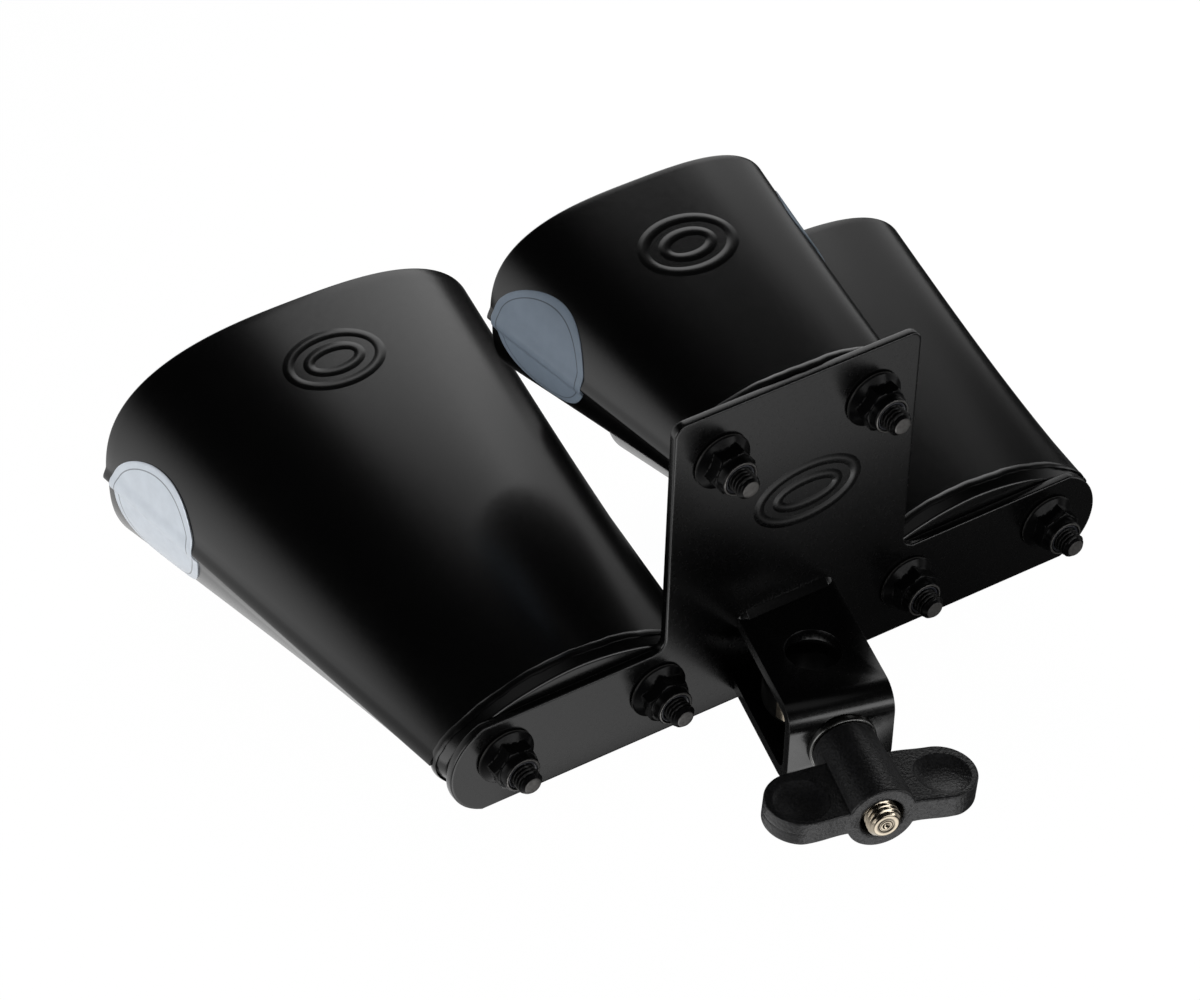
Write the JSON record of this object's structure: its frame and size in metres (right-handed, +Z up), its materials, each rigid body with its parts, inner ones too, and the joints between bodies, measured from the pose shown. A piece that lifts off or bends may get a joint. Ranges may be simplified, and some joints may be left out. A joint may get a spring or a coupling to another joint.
{
  "type": "triple cowbell",
  "caption": "Cluster of flared steel cowbells in graded sizes, bolted side by side on one upright plate with a wing-nut rod clamp, played with sticks.",
  "frame": {"origin": "on the axis of the clamped rod, at half the clamp's height", "axes": "+Z up along the rod, +Y from the plate into the bells and out of their mouths, +X along the plate's bar towards the mid bell"},
  "size_m": [0.2033, 0.1903, 0.1167],
  "materials": {
    "bell_coat": "satin black powder coat",
    "plate_coat": "satin black powder coat",
    "black_steel": "black oxide, worn bright at the rims",
    "nickel_steel": "bright nickel plate",
    "wing_plastic": "fine-grained black",
    "nylon": "matt",
    "bush_brass": "machined"
  },
  "bodies": {
    "frame": {"mounting_plate": "plate_coat", "clamp_bracket": "plate_coat", "low_bell_end_cap": "bell_coat", "low_bell_upper_shell": "bell_coat", "low_bell_lower_shell": "bell_coat", "mid_bell_end_cap": "bell_coat", "mid_bell_upper_shell": "bell_coat", "mid_bell_lower_shell": "bell_coat", "high_bell_end_cap": "bell_coat", "high_bell_upper_shell": "bell_coat", "high_bell_lower_shell": "bell_coat", "low_bolt_left": "black_steel", "low_bolt_right": "black_steel", "mid_bolt_left": "black_steel", "mid_bolt_right": "black_steel", "high_bolt_left": "black_steel", "high_bolt_right": "black_steel", "low_nut_left": "black_steel", "low_nut_right": "black_steel", "mid_nut_left": "black_steel", "mid_nut_right": "black_steel", "high_nut_left": "black_steel", "high_nut_right": "black_steel", "low_lock_ring_left": "nylon", "low_lock_ring_right": "nylon", "mid_lock_ring_left": "nylon", "mid_lock_ring_right": "nylon", "high_lock_ring_left": "nylon", "high_lock_ring_right": "nylon", "clamp_washer": "nickel_steel"},
    "eye_bolt": {"eye_bolt": "nickel_steel"},
    "wing_nut": {"wing_nut": "wing_plastic", "wing_nut_bush": "bush_brass"}
  },
  "joints": [
    {"name": "wing_nut_turn", "type": "hinge", "parent": "frame", "child": "wing_nut", "pos_m": [-0.0072, -0.0291, 0], "axis": [-0.2402, -0.9707, 0], "range_deg": [-1153, 577]},
    {"name": "eye_bolt_slide", "type": "slide", "parent": "frame", "child": "eye_bolt", "axis": [-0.2402, -0.9707, 0], "range_m": [-0.002, 0.004]}
  ],
  "couplings": [
    {"joint": "wing_nut_turn", "follows": "eye_bolt_slide", "rad_per_m": -5026.5}
  ]
}
